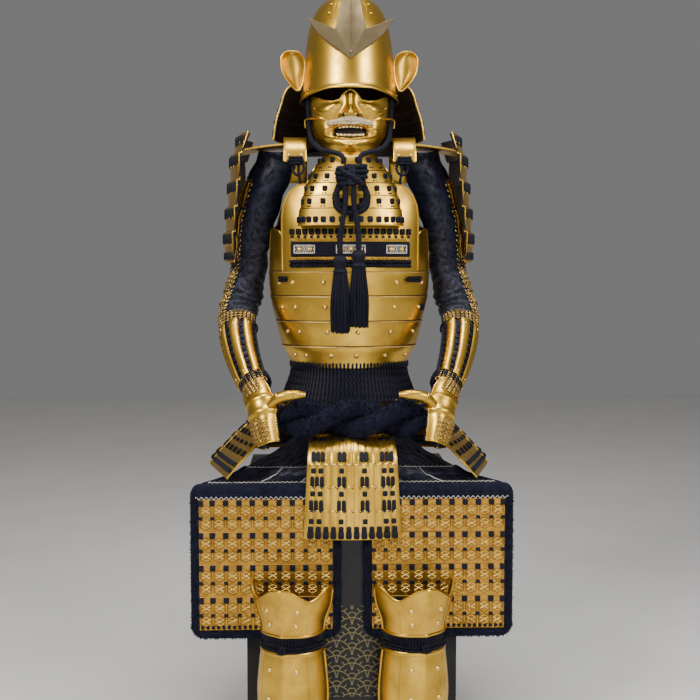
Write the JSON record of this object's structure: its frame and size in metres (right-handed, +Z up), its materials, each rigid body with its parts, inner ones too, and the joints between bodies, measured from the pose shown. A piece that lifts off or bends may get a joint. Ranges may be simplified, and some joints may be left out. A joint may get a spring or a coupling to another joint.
{
  "type": "samurai armour on display chest and stand",
  "caption": "Gilt laced plate armour with crested helmet, war mask, sleeves, skirt, thigh and shin guards, seated on a black lacquered chest and stand.",
  "frame": {"origin": "on the floor under the middle of the chest", "axes": "+Z up; the armour faces -Y; +X is the viewer's right"},
  "size_m": [0.674, 0.5934, 1.738],
  "materials": {
    "lacquer": "black lacquer, glossy",
    "stand_wood": "dark stained, satin",
    "gilt_lacquer": "gold lacquer, satin",
    "crest_brass": "dull, brushed",
    "navy_lace": "flat braided silk",
    "navy_cord": "round braided silk",
    "navy_cloth": "figured weave",
    "dark_plush": "plush",
    "white_hair": "hair"
  },
  "bodies": {
    "root": {"chest_body": "lacquer", "chest_lid": "lacquer", "stand_frame": "stand_wood", "helmet_rest": "stand_wood", "helmet_bowl": "gilt_lacquer", "helmet_ear_left": "gilt_lacquer", "helmet_ear_right": "gilt_lacquer", "neck_guard": "gilt_lacquer", "face_mask": "gilt_lacquer", "throat_guard": "gilt_lacquer", "cuirass_front": "gilt_lacquer", "cuirass_back": "gilt_lacquer", "chest_plate": "gilt_lacquer", "shoulder_strap_left": "gilt_lacquer", "shoulder_strap_right": "gilt_lacquer", "shoulder_guard_left": "gilt_lacquer", "shoulder_guard_right": "gilt_lacquer", "shoulder_wing_left": "gilt_lacquer", "shoulder_wing_right": "gilt_lacquer", "forearm_guard_left": "gilt_lacquer", "forearm_guard_right": "gilt_lacquer", "hand_guard_left": "gilt_lacquer", "hand_guard_right": "gilt_lacquer", "tasset_front": "gilt_lacquer", "tasset_front_left": "gilt_lacquer", "tasset_front_right": "gilt_lacquer", "tasset_side_left": "gilt_lacquer", "tasset_side_right": "gilt_lacquer", "tasset_back_left": "gilt_lacquer", "tasset_back_right": "gilt_lacquer", "thigh_scales_left": "gilt_lacquer", "thigh_scales_right": "gilt_lacquer", "knee_cup_left": "gilt_lacquer", "knee_cup_right": "gilt_lacquer", "shin_plate_left": "gilt_lacquer", "shin_plate_right": "gilt_lacquer", "helmet_crest": "crest_brass", "chest_lacing": "navy_lace", "wrist_tie_left": "navy_lace", "wrist_tie_right": "navy_lace", "skirt_lacing": "navy_lace", "shin_tie_left": "navy_lace", "shin_tie_right": "navy_lace", "cheek_cord_left": "navy_cord", "cheek_cord_right": "navy_cord", "cord_knot": "navy_cord", "cord_end_left": "navy_cord", "cord_end_right": "navy_cord", "tassel_left": "navy_cord", "tassel_right": "navy_cord", "sleeve_left": "navy_cloth", "sleeve_right": "navy_cloth", "thigh_lap": "navy_cloth", "thigh_cloth_left": "navy_cloth", "thigh_cloth_right": "navy_cloth", "sash_twist_a": "dark_plush", "sash_twist_b": "dark_plush", "mask_moustache": "white_hair"}
  },
  "joints": []
}
